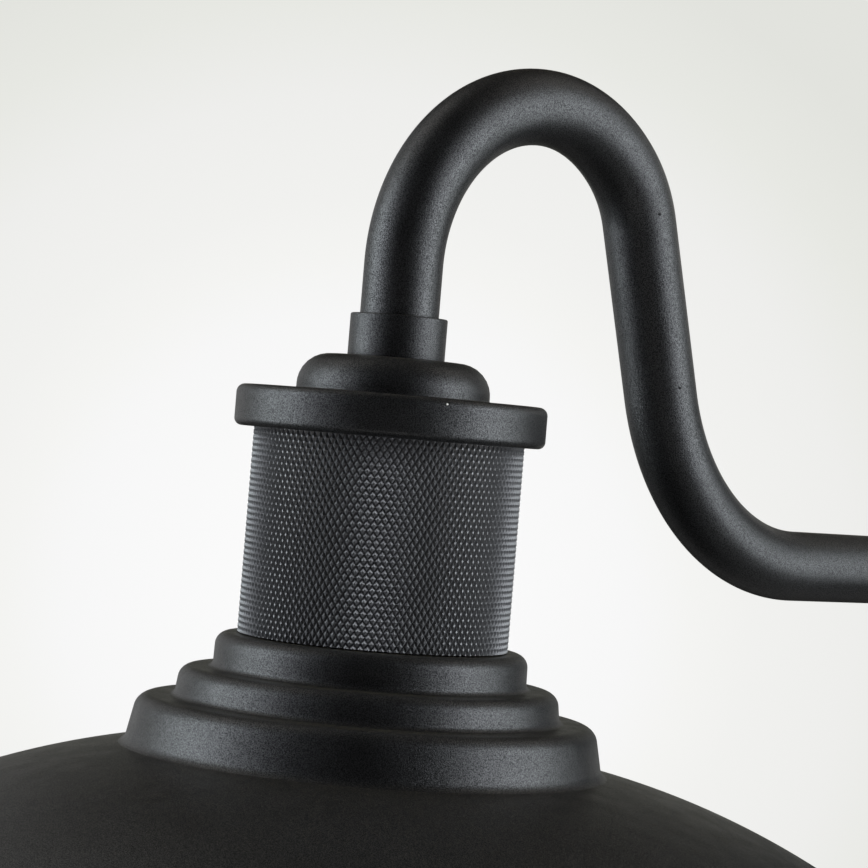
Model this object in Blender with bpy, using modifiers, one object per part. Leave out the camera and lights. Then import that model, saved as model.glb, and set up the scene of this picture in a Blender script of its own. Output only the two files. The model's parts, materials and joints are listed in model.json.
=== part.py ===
"""Gooseneck wall lamp: bent tube arm on a round wall plate, knurled lampholder housing, stepped neck
and a spun dome shade with a screw-in bulb.

Frame: origin on the wall plane at the arm's height, +Y into the wall, +Z up, so the arm reaches out
along -Y. Turned pieces are drawn as (radius, height) outlines, in millimetres, in one of two frames:
the "wall" frame, whose height is the distance out from the wall, and the "head" frame, whose height is
measured up the lamp's vertical axis from the underside of the lid's rim.
"""

from math import cos, pi, radians, sin

import bmesh
import bpy
from mathutils import Matrix, Vector

MM = 0.001
GAP = 0.3  # clearance between pieces that touch

# Driving dimensions, mm and degrees
REACH = 255.0  # wall plane to the lamp's vertical axis
TUBE_R = 8.0
TUBE_WALL = 1.5
LOW_BEND = (50.7, 73.0)  # radius and angle of the bend from the level run into the leg
LEG = 38.75  # straight leg between the two bends
ARCH = ((26.9, 28.0), (33.8, 45.0), (37.5, 45.0), (36.3, 45.0))  # the arch opens out towards the head
DROP = 35.2  # end of the arch above the underside of the lid's rim
TUBE_FOOT = 19.5  # lower end of the tube in the head frame
BEND_STEP = 11.25  # degrees of bend per tube segment

PLATE_R = 60.0
PLATE_DEPTH = 24.0
SHEET = 1.2  # plate and collar sheet
SCREW_OUT = 36.0  # cap nuts from the plate's centre

RIM_R = 31.5  # lid's rim
RIM_H = 8.7
CAP_R = 19.6
CAP_TOP = 16.2
BARREL_R = 27.4
BARREL_INNER_R = 25.2
BARREL_FOOT = -41.0
SHADE_HOLE_R = 21.0
SHADE_SHEET = 1.0
DOME_START = (48.9, -64.7)  # where the dome leaves the collar's lip
DOME_SLOPE = 10.4
DOME_R = 161.0
SHOULDER_SLOPE = 36.0
SHOULDER_R = 62.0
SKIRT_SLOPE = 78.0
SHADE_R = 152.0
SHADE_FOOT = -150.0

SHELL_R = 13.6  # inside of the screw shell
BULB_CAP_R = 13.1
BULB_R = 30.0
BULB_TOP = -37.2
BULB_LENGTH = 104.0
BULB_CAP_H = 26.5

BRACKET_SCREW = 14.2
GROUND_SCREW = (11.0, -5.0)
NIPPLE_R = 5.0
NIPPLE_BORE_R = 3.5
HOLE_R = NIPPLE_R + GAP
LEAD_R = 1.0
LEAD_OFF = 1.5  # each lead's distance from the tube's centre line


def clear_scene():
    for obj in list(bpy.data.objects):
        bpy.data.objects.remove(obj, do_unlink=True)


clear_scene()
LAMP = bpy.data.collections.new("gooseneck_wall_lamp")
CUTTERS = bpy.data.collections.new("cutters")
for group in (LAMP, CUTTERS):
    bpy.context.scene.collection.children.link(group)


def paint(name, hex_colour, roughness, metallic=0.0, transmission=0.0):
    made = bpy.data.materials.new(name)
    made.use_nodes = True
    shader = made.node_tree.nodes["Principled BSDF"]
    srgb = [int(hex_colour[i : i + 2], 16) / 255 for i in (0, 2, 4)]
    shader.inputs["Base Color"].default_value = [c**2.2 for c in srgb] + [1.0]
    shader.inputs["Roughness"].default_value = roughness
    shader.inputs["Metallic"].default_value = metallic
    shader.inputs["Transmission Weight"].default_value = transmission
    return made


BLACK_COAT = paint("black_powder_coat", "2b2b2b", 0.5)
KNURLED_COAT = paint("black_coat_on_knurl", "343434", 0.45)
STEEL = paint("zinc_plated_steel", "b4b8ba", 0.35, 1.0)
BRASS = paint("brass", "c6a25a", 0.3, 1.0)
CAP_METAL = paint("nickel_plated_cap", "c4c2bc", 0.25, 1.0)
GREEN = paint("green_ground_screw", "2f7a44", 0.4, 1.0)
PORCELAIN = paint("white_porcelain", "e8e5dc", 0.2)
RUBBER = paint("black_foam_rubber", "1d1d1d", 0.9)
LINE_SLEEVE = paint("black_wire_insulation", "1a1a1a", 0.5)
NEUTRAL_SLEEVE = paint("white_wire_insulation", "e4e2dc", 0.5)
GROUND_SLEEVE = paint("green_wire_insulation", "2e6f3e", 0.5)
ORANGE = paint("orange_connector_plastic", "d9792b", 0.5)
VITRITE = paint("black_vitrite", "141416", 0.15)
GLASS = paint("clear_bulb_glass", "ffffff", 0.02, 0.0, 1.0)
PHOSPHOR = paint("yellow_filament_phosphor", "e6b84a", 0.6)


def frame_empty(name, location, turn_x=0.0):
    empty = bpy.data.objects.new(name, None)
    LAMP.objects.link(empty)
    empty.location = location
    empty.rotation_euler = (turn_x, 0, 0)
    return empty


def add(name, data, material, parent, collection=None):
    obj = bpy.data.objects.new(name, data)
    (collection or LAMP).objects.link(obj)
    if material:
        data.materials.append(material)
    obj.parent = parent
    return obj


def rounded(corners, segments=2):
    """Outline through (radius, height[, fillet]) corners, each fillet drawn as an arc."""
    points = [Vector(c[:2]) for c in corners]
    drawn = []
    for i, corner in enumerate(corners):
        fillet = corner[2] if len(corner) > 2 else 0.0
        here = points[i]
        if not fillet:
            drawn.append(here)
            continue
        before = (points[i - 1] - here).normalized()
        after = (points[(i + 1) % len(points)] - here).normalized()
        half = before.angle(after) / 2
        middle = here + (before + after).normalized() * fillet / sin(half)
        start = here + before * fillet / (sin(half) / cos(half)) - middle
        end = here + after * fillet / (sin(half) / cos(half)) - middle
        for k in range(segments + 1):
            spoke = start.lerp(end, k / segments)
            drawn.append(middle + spoke.normalized() * fillet)
    return drawn


def arc(centre, radius, start, end, segments):
    """Points on an arc, angles in degrees from +radius towards +height."""
    angles = [radians(start + (end - start) * k / segments) for k in range(segments + 1)]
    return [Vector((centre[0] + radius * cos(a), centre[1] + radius * sin(a))) for a in angles]


def turned(name, outline, material, parent, steps=24, ring=True, sheet=0.0):
    """A profile turned about the frame's axis. A ring's outline closes on itself, another's ends on
    the axis, and a sheet's is its outer face, thickened inwards."""
    mesh = bpy.data.meshes.new(name)
    points = [(p[0] * MM, 0, p[1] * MM) for p in outline]
    edges = [(i, i + 1) for i in range(len(points) - 1)]
    if ring and not sheet:
        edges.append((len(points) - 1, 0))
    mesh.from_pydata(points, edges, [])
    obj = add(name, mesh, material, parent)
    screw = obj.modifiers.new("Turn", "SCREW")
    screw.steps = screw.render_steps = steps
    screw.use_merge_vertices = True
    screw.merge_threshold = 1e-6
    screw.use_smooth_shade = True
    if sheet:
        wall = obj.modifiers.new("Sheet", "SOLIDIFY")
        wall.thickness = sheet * MM
        wall.offset = -1
        wall.use_even_offset = True
    return obj


def flat(name, outlines, low, high, material, parent):
    """A flat piece from closed outlines (the first outside, the rest holes), between two heights."""
    curve = bpy.data.curves.new(name, "CURVE")
    curve.dimensions = "2D"
    curve.fill_mode = "BOTH"
    curve.extrude = (high - low) / 2 * MM
    for outline in outlines:
        spline = curve.splines.new("POLY")
        spline.points.add(len(outline) - 1)
        for point, (x, y) in zip(spline.points, outline):
            point.co = (x * MM, y * MM, 0, 1)
        spline.use_cyclic_u = True
    obj = add(name, curve, material, parent)
    obj.location.z = (low + high) / 2 * MM
    return obj


def circle(radius, x=0.0, y=0.0, sides=20, turn=0.0):
    angles = [turn + 2 * pi * k / sides for k in range(sides)]
    return [(x + radius * cos(a), y + radius * sin(a)) for a in angles]


def slot(length, width, x=0.0):
    """A round-ended slot along x."""
    end = (length - width) / 2
    right = [Vector((x + end, 0)) + p for p in arc((0, 0), width / 2, -90, 90, 8)]
    left = [Vector((x - end, 0)) + p for p in arc((0, 0), width / 2, 90, 270, 8)]
    return [tuple(p) for p in right + left]


def wire(name, points, radius, material, parent=None, hollow=0.0, sides_level=2):
    """A tube along points in metres: solid with filled ends, or hollow with a wall."""
    curve = bpy.data.curves.new(name, "CURVE")
    curve.dimensions = "3D"
    curve.bevel_depth = radius * MM
    curve.bevel_resolution = sides_level
    curve.use_fill_caps = not hollow
    spline = curve.splines.new("POLY")
    spline.points.add(len(points) - 1)
    for point, co in zip(spline.points, points):
        point.co = (*co, 1)
    obj = add(name, curve, material, parent)
    if hollow:
        wall = obj.modifiers.new("Wall", "SOLIDIFY")
        wall.thickness = hollow * MM
        wall.offset = -1
        wall.use_even_offset = True
    return obj


def drill(target, x, y, radius, low, high):
    """Cut a round hole along the frame's axis, between two heights."""
    mesh = bpy.data.meshes.new(target.name + "_cutter")
    bm = bmesh.new()
    place = Matrix.Translation(Vector((x, y, (low + high) / 2)) * MM)
    bmesh.ops.create_cone(
        bm,
        cap_ends=True,
        segments=16,
        radius1=radius * MM,
        radius2=radius * MM,
        depth=(high - low) * MM,
        matrix=place,
    )
    bm.to_mesh(mesh)
    bm.free()
    cutter = add(target.name + "_cutter", mesh, None, target.parent, CUTTERS)
    cutter.hide_render = True
    cutter.display_type = "WIRE"
    cut = target.modifiers.new("Drill", "BOOLEAN")
    cut.object = cutter
    cut.operation = "DIFFERENCE"


def at(obj, x, y):
    obj.location.x = x * MM
    obj.location.y = y * MM
    return obj


# The arm's centre line, walked from the wall to the head in the plane x = 0


def walk(start, heading, sections):
    """Points (y, z) in mm along straight and bent sections. A bend is (radius, turn) in degrees,
    positive upwards, and a straight is (length,). The heading is 0 along -Y and 90 straight up."""
    y, z = start
    route = [(y, z)]
    for section in sections:
        if len(section) == 1:
            y -= section[0] * cos(radians(heading))
            z += section[0] * sin(radians(heading))
            route.append((y, z))
            continue
        radius, turn = section
        parts = max(2, round(abs(turn) / BEND_STEP))
        side = 1 if turn > 0 else -1
        for k in range(1, parts + 1):
            a0 = radians(heading + turn * (k - 1) / parts)
            a1 = radians(heading + turn * k / parts)
            y -= side * radius * (sin(a1) - sin(a0))
            z -= side * radius * (cos(a1) - cos(a0))
            route.append((y, z))
        heading += turn
    return route


def arm_route():
    bends = [LOW_BEND, (LEG,)] + [(radius, -angle) for radius, angle in ARCH]
    width = walk((0, 0), 0, bends)[-1]
    start = -(PLATE_DEPTH + GAP)
    run = REACH + start + width[0]
    route = walk((start, 0), 0, [(run,)] + bends + [(DROP - TUBE_FOOT,)])
    head_height = route[-1][1] - TUBE_FOOT
    return route, head_height


ROUTE, HEAD_HEIGHT = arm_route()
WALL = frame_empty("wall_frame", (0, 0, 0), pi / 2)
HEAD = frame_empty("head_frame", (0, -REACH * MM, HEAD_HEIGHT * MM))


# Wall end


def wall_end():
    dish = [
        (HOLE_R, PLATE_DEPTH),
        (46.5, PLATE_DEPTH, 3.0),
        (47.0, 18.6, 0.8),
        (58.8, 18.2, 3.5),
        (PLATE_R, 2.3),
    ]
    plate = turned("wall_plate", rounded(dish), BLACK_COAT, WALL, steps=28, sheet=SHEET)
    for side in (-1, 1):
        drill(plate, side * SCREW_OUT, 0, 2.4, PLATE_DEPTH - 4, PLATE_DEPTH + 4)
    turned("wall_gasket", [(59.4, 2.0), (59.4, 0), (52.0, 0), (52.0, 2.0)], RUBBER, WALL, steps=28)

    bar_holes = [slot(12, 4.6, side * 22) for side in (-1, 1)]
    bar_holes += [circle(2.3, side * SCREW_OUT) for side in (-1, 1)]
    flat("mounting_bar", [slot(94, 18)] + bar_holes + [circle(2.0, *GROUND_SCREW)], 0, 1.5, STEEL, WALL)
    for side, word in ((-1, "left"), (1, "right")):
        rod = [(0, 31), (2.0, 31), (2.0, GAP), (0, GAP)]
        shank = turned(f"plate_screw_{word}", rod, STEEL, WALL, steps=12, ring=False)
        at(shank, side * SCREW_OUT, 0)
        face = PLATE_DEPTH + GAP
        dome = arc((0, face + 4.0), 5.6, 90, 0, 5)
        outside = dome + [Vector((6.4, face + 3.0)), Vector((6.4, face))]
        bore = [Vector((2.3, face)), Vector((2.3, 31.4)), Vector((0, 31.4))]
        nut = turned(f"cap_nut_{word}", outside + bore, BLACK_COAT, WALL, steps=16, ring=False)
        at(nut, side * SCREW_OUT, 0)

    ground = turned(
        "ground_screw",
        [(0, 4.6), (3.6, 4.6), (3.6, 1.8), (1.7, 1.8), (1.7, GAP), (0, GAP)],
        GREEN,
        WALL,
        steps=12,
        ring=False,
    )
    at(ground, *GROUND_SCREW)

    # Arm fixing: a bush brazed into the tube takes the hollow nipple, and a nut draws it to the plate
    front = PLATE_DEPTH + GAP
    collar = rounded([(8.3, front + 10), (10.4, front + 10, 1.2), (13.0, front, 0.0), (8.3, front)])
    turned("arm_collar", collar, BLACK_COAT, WALL, steps=20)
    bush = [(6.2, front + 16), (6.2, front + 0.3), (HOLE_R, front + 0.3), (HOLE_R, front + 16)]
    turned("wall_bush", bush, STEEL, WALL, steps=16)
    nipple = [(NIPPLE_R, 39), (NIPPLE_R, 13), (NIPPLE_BORE_R, 13), (NIPPLE_BORE_R, 39)]
    turned("wall_nipple", nipple, STEEL, WALL, steps=16)
    back = PLATE_DEPTH - SHEET - GAP
    flat("plate_washer", [circle(11), circle(HOLE_R, sides=16)], back - 1.2, back, STEEL, WALL)
    hexagon = circle(8.1, sides=6)
    flat("plate_lock_nut", [hexagon, circle(HOLE_R, sides=16)], back - 5.5, back - 1.5, STEEL, WALL)


# Wires: two leads through the arm, their connectors and the ground wire


def bow(start, middle, end, parts=5):
    """Points along a smooth bow that leaves start towards middle and reaches end."""
    points = []
    for k in range(1, parts + 1):
        t = k / parts
        points.append(start * (1 - t) ** 2 + middle * 2 * t * (1 - t) + end * t**2)
    return points


def connector(name, x, mouth, material):
    body = [(0, 20), (3.4, 20), (6.2, 3), (6.2, 0), (3.4, 0), (2.2, 4), (2.2, 13), (0, 13)]
    nut = turned(name, body, material, None, steps=12, ring=False)
    nut.rotation_euler = (pi, 0, 0)
    nut.location = (x * MM, -11 * MM, mouth * MM)


def leads():
    for name, side, material in (("lead_line", 1, LINE_SLEEVE), ("lead_neutral", -1, NEUTRAL_SLEEVE)):
        off = side * LEAD_OFF
        inside = [Vector((off, y, z)) for y, z in ROUTE]
        nipple_back = Vector((off, -12.0, 0))
        mouth = Vector((side * 20, -11, -22))
        tail = bow(mouth, Vector((side * 20, -9, 2)), nipple_back, 6)
        head = Vector((0, -REACH, HEAD_HEIGHT))
        entry = head + Vector((off, 0, -2))
        end = head + Vector((side * 7.0, 3.6, -18.4))
        foot = bow(entry, head + Vector((off, 0, -14)), end, 5)
        points = [mouth + Vector((0, 0, -8)), mouth] + tail + inside + [entry] + foot
        wire(name, [p * MM for p in points], LEAD_R, material, sides_level=1)
        connector(f"{name.replace('lead', 'connector')}", side * 20, -22, ORANGE)
    screw = Vector((GROUND_SCREW[0], -3.2, GROUND_SCREW[1] - 4.9))
    mouth = Vector((0, -11, -26))
    ground = [screw] + bow(screw, Vector((9, -5, -19)), mouth + Vector((0, 0, 4)), 6)
    ground += [mouth, mouth + Vector((0, 0, -8))]
    wire("ground_wire", [p * MM for p in ground], LEAD_R, GROUND_SLEEVE)
    connector("connector_ground", 0, -26, ORANGE)


# Head: fixed pieces round the lamp's vertical axis


def head_fixing():
    foot = TUBE_FOOT
    sleeve = [
        (9.85, 24.8, 0.4),
        (9.85, CAP_TOP + GAP),
        (HOLE_R, CAP_TOP + GAP),
        (HOLE_R, foot - GAP),
        (8.3, foot - GAP),
        (8.3, 24.8),
    ]
    turned("arm_coupling", rounded(sleeve), BLACK_COAT, HEAD, steps=20)
    bush = [(6.2, foot + 14), (6.2, foot + 0.3), (HOLE_R, foot + 0.3), (HOLE_R, foot + 14)]
    turned("head_bush", bush, STEEL, HEAD, steps=16)
    nipple = [(NIPPLE_R, 32), (NIPPLE_R, 3.5), (NIPPLE_BORE_R, 3.5), (NIPPLE_BORE_R, 32)]
    turned("head_nipple", nipple, STEEL, HEAD, steps=16)
    lid = [
        (HOLE_R, CAP_TOP),
        (CAP_R, CAP_TOP, 6.2),
        (CAP_R, RIM_H, 0.5),
        (RIM_R, RIM_H, 1.6),
        (RIM_R, 0.3, 1.5),
        (BARREL_R + GAP, 0.3),
        (BARREL_R + GAP, 4.0),
        (24.5, 4.0),
        (24.5, 6.4),
        (17.2, 6.4),
        (17.2, 13.7),
        (HOLE_R, 13.7),
    ]
    turned("socket_lid", rounded(lid), BLACK_COAT, HEAD, steps=28)
    flat("lock_washer", [circle(8.5), circle(HOLE_R, sides=16)], 12.6, 13.4, STEEL, HEAD)
    flat("head_lock_nut", [circle(8.1, sides=6), circle(HOLE_R, sides=16)], 8.3, 12.3, STEEL, HEAD)


def lampholder():
    holes = [circle(HOLE_R, sides=16)] + [circle(1.7, 0, side * BRACKET_SCREW, 10) for side in (-1, 1)]
    flat("lampholder_bracket", [circle(16.8, sides=24)] + holes, 4.6, 6.0, STEEL, HEAD)
    for side, word in ((-1, "front"), (1, "rear")):
        outline = [(0, 8.1), (2.6, 8.1), (2.6, 6.3), (1.4, 6.3), (1.4, -4), (0, -4)]
        screw = turned(f"bracket_screw_{word}", outline, STEEL, HEAD, steps=10, ring=False)
        at(screw, 0, side * BRACKET_SCREW)
    body = [
        (18.0, 4.3),
        (18.0, -38),
        (20.0, -40),
        (20.0, -71),
        (17.4, -71),
        (17.0, -65),
        (14.6, -61),
        (14.6, -30),
        (2.0, -30),
        (2.0, -22),
        (12.0, -22),
        (12.0, 4.3),
    ]
    porcelain = turned("lampholder_body", body, PORCELAIN, HEAD, steps=20)
    for side in (-1, 1):
        drill(porcelain, 0, side * BRACKET_SCREW, 1.8, -5, 6)
    drill(porcelain, -9, 0, 1.5, -31, -21)
    shell = [(14.1, -30.4), (14.1, -56), (SHELL_R, -56), (SHELL_R, -30.9), (7.0, -30.9), (7.0, -30.4)]
    turned("screw_shell", shell, BRASS, HEAD, steps=20)
    leaf = bpy.data.meshes.new("centre_contact")
    bend = [(-5.0, -32.0), (3.0, -32.0), (4.6, -33.0), (3.8, -34.6), (0.0, -36.1), (-3.0, -36.2)]
    leaf.from_pydata([(x * MM, y * MM, z * MM) for y in (-3, 3) for x, z in bend], [], [
        (i, i + 1, i + 7, i + 6) for i in range(5)
    ])
    spring = add("centre_contact", leaf, BRASS, HEAD)
    wall = spring.modifiers.new("Sheet", "SOLIDIFY")
    wall.thickness = 0.5 * MM
    wall.offset = 0
    rivet = [(0, -18.6), (3.0, -18.6), (3.0, -20.2), (1.6, -20.2), (1.6, -31.4), (0, -31.4)]
    turned("contact_rivet", rivet, BRASS, HEAD, steps=10, ring=False)
    pin = [(0, -22), (1.2, -22), (1.2, -30), (0, -30)]
    at(turned("shell_rivet", pin, BRASS, HEAD, steps=8, ring=False), -9, 0)
    for name, side in (("line_terminal", 1), ("neutral_terminal", -1)):
        near = -2.6 if side == 1 else 4.2
        box = [(side * near, -3), (side * 10.6, -3), (side * 10.6, 3), (side * near, 3)]
        holes = [circle(1.7, side * 7.0, 0, 10)] + ([circle(1.9, 0, 0, 10)] if side == 1 else [])
        flat(name, [box] + holes, -21.7, -20.5, BRASS, HEAD)
        screw = [(0, -18.4), (2.6, -18.4), (2.6, -20.2), (1.4, -20.2), (1.4, -21.6), (0, -21.6)]
        at(turned(f"{name}_screw", screw, BRASS, HEAD, steps=10, ring=False), side * 7.0, 0)


def housing():
    outside = [(BARREL_R, 3.7), (BARREL_R, BARREL_FOOT)]
    barrel = outside + [(BARREL_INNER_R, BARREL_FOOT), (BARREL_INNER_R, 3.7)]
    turned("knurled_barrel", barrel, KNURLED_COAT, HEAD, steps=32)
    top = BARREL_FOOT - GAP
    collar = [
        (SHADE_HOLE_R, top),
        (31.6, top, 2.4),
        (31.7, -48.3, 0.5),
        (38.3, -48.4, 2.8),
        (39.0, -54.5, 0.5),
        (46.4, -54.7, 3.0),
        (DOME_START[0], DOME_START[1] + 0.5),
    ]
    turned("stepped_collar", rounded(collar), BLACK_COAT, HEAD, steps=30, sheet=SHEET)


def dome_point(slope, start, start_slope, radius):
    """The point where an arc that starts at start_slope reaches slope (degrees below level)."""
    r = start[0] + radius * (sin(radians(slope)) - sin(radians(start_slope)))
    z = start[1] - radius * (cos(radians(start_slope)) - cos(radians(slope)))
    return (r, z)


def shade():
    seat_slope = 5.0
    seat = dome_point(seat_slope, DOME_START, DOME_SLOPE, DOME_R)
    outline = [Vector((SHADE_HOLE_R, seat[1] + 0.2))]
    for k in range(6):
        slope = seat_slope + (SHOULDER_SLOPE - seat_slope) * k / 5
        outline.append(Vector(dome_point(slope, DOME_START, DOME_SLOPE, DOME_R)))
    shoulder = tuple(outline[-1])
    for k in range(1, 5):
        slope = SHOULDER_SLOPE + (SKIRT_SLOPE - SHOULDER_SLOPE) * k / 4
        outline.append(Vector(dome_point(slope, shoulder, SHOULDER_SLOPE, SHOULDER_R)))
    skirt = outline[-1]
    run = Vector((cos(radians(SKIRT_SLOPE)), -sin(radians(SKIRT_SLOPE))))
    flare = skirt + run * 6
    outline += [flare, Vector((SHADE_R - 3.5, SHADE_FOOT + 3.2)), Vector((SHADE_R, SHADE_FOOT + 1.2))]
    outline.append(Vector((SHADE_R, SHADE_FOOT)))
    turned("shade", outline, BLACK_COAT, HEAD, steps=36, sheet=SHADE_SHEET)
    seat_under = seat[1] - SHADE_SHEET - 0.5
    clamp = [(28.5, seat_under), (28.5, -70.5, 1.0), (20.5, -70.5), (20.5, seat_under)]
    turned("shade_ring", rounded(clamp), PORCELAIN, HEAD, steps=20)


# Bulb: the tip only slides, and everything else turns with the screw cap


def bulb():
    top = BULB_TOP
    button = [(0, top), (3.4, top), (4.6, top - 1.4), (0, top - 1.4)]
    turned("bulb_tip", button, STEEL, HEAD, steps=16, ring=False)
    neck = top - 1.7
    insulator = [(5.2, neck), (9.2, neck - 4.5), (5.0, neck - 4.5), (3.0, neck)]
    turned("bulb_insulator", insulator, VITRITE, HEAD, steps=20)
    skirt = top - BULB_CAP_H
    cap = [
        (9.6, neck - 4.8),
        (BULB_CAP_R, neck - 7.5),
        (BULB_CAP_R, skirt),
        (12.7, skirt),
        (12.7, neck - 7.8),
        (9.4, neck - 5.2),
    ]
    turned("bulb_cap", cap, CAP_METAL, HEAD, steps=20)

    centre = top - BULB_LENGTH + BULB_R
    side = 42.0
    globe = arc((0, centre), BULB_R, side, -90, 7)
    start = Vector((13.2, skirt - GAP))
    join = globe[0]
    lean = Vector((sin(radians(side)), -cos(radians(side)))) * (start - join).length * 0.45
    down = Vector((0, -1)) * (start - join).length * 0.45
    neck_line = []
    for k in range(4):
        t = k / 4
        bezier = (
            start * (1 - t) ** 3
            + (start + down) * 3 * t * (1 - t) ** 2
            + (join - lean) * 3 * t**2 * (1 - t)
            + join * t**3
        )
        neck_line.append(bezier)
    globe[-1] = Vector((0, centre - BULB_R))
    turned("bulb_glass", neck_line + globe, GLASS, HEAD, steps=20, ring=False, sheet=0.8)

    stem_foot = skirt - 22
    flare = [(0, skirt - 1), (11.6, skirt - 1), (9.0, skirt - 5), (4.0, skirt - 14)]
    stem = flare + [(2.6, stem_foot), (0, stem_foot)]
    turned("bulb_stem", stem, GLASS, HEAD, steps=16, ring=False)
    top_hub = stem_foot - 0.9
    low_hub = centre - 16
    for name, height in (("filament_hub_upper", top_hub), ("filament_hub_lower", low_hub)):
        flat(name, [circle(6.0, sides=16)], height - 0.6, height, STEEL, HEAD)
    for k in range(4):
        angle = radians(45 + 90 * k)
        foot_angle = angle + radians(35)
        high = Vector((4.6 * cos(angle), 4.6 * sin(angle), top_hub - 1.9))
        low = Vector((4.6 * cos(foot_angle), 4.6 * sin(foot_angle), low_hub + 1.3))
        wire(f"filament_{k + 1}", [high * MM, low * MM], 0.9, PHOSPHOR, HEAD, sides_level=1)


wall_end()
leads()
tube_points = [(0, y * MM, z * MM) for y, z in ROUTE]
wire("arm_tube", tube_points, TUBE_R, BLACK_COAT, hollow=TUBE_WALL, sides_level=5)
head_fixing()
lampholder()
housing()
shade()
bulb()
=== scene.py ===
"""Looks of the gooseneck wall lamp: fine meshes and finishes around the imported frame."""

import json
from math import atan2, cos, hypot, pi, radians, sin, tau

import bmesh
import bpy
from mathutils import Matrix, Vector, noise


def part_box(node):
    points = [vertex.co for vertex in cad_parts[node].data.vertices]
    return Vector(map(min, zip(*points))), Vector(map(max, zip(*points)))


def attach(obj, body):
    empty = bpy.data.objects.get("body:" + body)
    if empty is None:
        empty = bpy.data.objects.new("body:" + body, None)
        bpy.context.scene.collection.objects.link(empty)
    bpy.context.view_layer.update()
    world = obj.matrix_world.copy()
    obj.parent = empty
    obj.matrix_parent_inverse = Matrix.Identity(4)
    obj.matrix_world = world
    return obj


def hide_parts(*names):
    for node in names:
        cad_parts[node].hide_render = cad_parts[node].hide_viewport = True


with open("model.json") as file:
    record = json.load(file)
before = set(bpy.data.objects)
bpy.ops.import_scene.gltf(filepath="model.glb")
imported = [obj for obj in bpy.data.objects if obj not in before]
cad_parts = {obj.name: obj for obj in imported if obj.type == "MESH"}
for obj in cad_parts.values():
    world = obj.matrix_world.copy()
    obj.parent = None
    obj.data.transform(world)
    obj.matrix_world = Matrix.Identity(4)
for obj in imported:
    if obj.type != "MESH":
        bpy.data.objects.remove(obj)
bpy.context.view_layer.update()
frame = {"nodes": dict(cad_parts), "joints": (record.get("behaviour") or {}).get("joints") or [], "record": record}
MM = 0.001


def size_mm(node):
    """Lowest and highest corner of a frame node, in mm."""
    low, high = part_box(node)
    return low / MM, high / MM


# ---------------------------------------------------------------- places read from the frame

TURN = next(joint for joint in frame["joints"] if joint["name"] == "bulb_turn")
AXIS_Y = TURN["pos_m"][1] / MM
LID_LOW, LID_HIGH = size_mm("socket_lid")
RIM_UNDER = 0.3  # the lid's underside in the head frame
HEAD = Vector((0, AXIS_Y, LID_LOW.z - RIM_UNDER))
RIM_R = LID_HIGH.x
BARREL_R = size_mm("knurled_barrel")[1].x
BARREL_FOOT = size_mm("knurled_barrel")[0].z - HEAD.z
SHADE_R = size_mm("shade")[1].x
SHADE_FOOT = size_mm("shade")[0].z - HEAD.z
PLATE_R = size_mm("wall_plate")[1].x
PLATE_DEPTH = -size_mm("wall_plate")[0].y
TUBE_R = size_mm("arm_tube")[1].x
REACH = -AXIS_Y
GAP = 0.3  # clearance left between neighbouring pieces

# The arm's bends and the dome's arcs, as the frame has them, mm and degrees
LOW_BEND = (50.7, 73.0)
LEG = 38.75
ARCH = ((26.9, 28.0), (33.8, 45.0), (37.5, 45.0), (36.3, 45.0))
DROP = 35.2
TUBE_FOOT = 19.5
DOME_START = (48.9, -64.7)
DOME_SLOPE = 10.4
DOME_R = 161.0
SHOULDER_SLOPE = 36.0
SHOULDER_R = 62.0
SKIRT_SLOPE = 78.0
SEAT_SLOPE = 5.0

# Sheet, thread and hardware sizes, mm
SHADE_SHEET = 1.0
SPUN_SHEET = 1.2  # wall plate and neck collar
GLASS_WALL = 0.8
LAMP_PITCH = 3.629  # medium screw lamp cap, seven threads to the inch
PIPE_R, PIPE_BORE, PIPE_PITCH = 5.0, 3.5, 1.0
NUT_HALF, NUT_BORE = 7.0, 5.3  # half the width across flats
PLATE_SCREW_X = 36
GROUND_SCREW = (11, -5)


# ---------------------------------------------------------------- mesh tools


def new_mesh(name, bm, materials, body="root", smooth=True, place=None):
    """A piece from a bmesh, riding on its body."""
    mesh = bpy.data.meshes.new(name)
    bmesh.ops.recalc_face_normals(bm, faces=bm.faces)
    bm.to_mesh(mesh)
    bm.free()
    if smooth:
        mesh.shade_smooth()
    for material in materials:
        mesh.materials.append(material)
    obj = bpy.data.objects.new(name, mesh)
    bpy.context.scene.collection.objects.link(obj)
    if place:
        obj.matrix_world = place
    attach(obj, body)
    return obj


def stands_for(obj, slot, *nodes):
    """The piece takes the place of these frame nodes, which are hidden. The slot is not used."""
    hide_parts(*nodes)
    return obj


HEAD_PLACE = Matrix.Translation(HEAD * MM)
WALL_PLACE = Matrix.Rotation(pi / 2, 4, "X")  # local height runs out from the wall


def arc(centre, radius, start, end, parts):
    """Points on an arc between two angles in degrees."""
    angles = [radians(start + (end - start) * k / parts) for k in range(parts + 1)]
    return [Vector((centre[0] + radius * cos(a), centre[1] + radius * sin(a))) for a in angles]


def rounded(corners, parts=6, closed=True):
    """Outline through (radius, height[, fillet]) corners, each fillet drawn as an arc."""
    points = [Vector(c[:2]) for c in corners]
    drawn = []
    for i, corner in enumerate(corners):
        fillet = corner[2] if len(corner) > 2 else 0.0
        here = points[i]
        if not fillet or (not closed and i in (0, len(corners) - 1)):
            drawn.append(here)
            continue
        before = (points[i - 1] - here).normalized()
        after = (points[(i + 1) % len(points)] - here).normalized()
        half = before.angle(after) / 2
        middle = here + (before + after).normalized() * fillet / sin(half)
        start = here + before * fillet / (sin(half) / cos(half)) - middle
        end = here + after * fillet / (sin(half) / cos(half)) - middle
        for k in range(parts + 1):
            spoke = start.lerp(end, k / parts)
            drawn.append(middle + spoke.normalized() * fillet)
    return drawn


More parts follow.
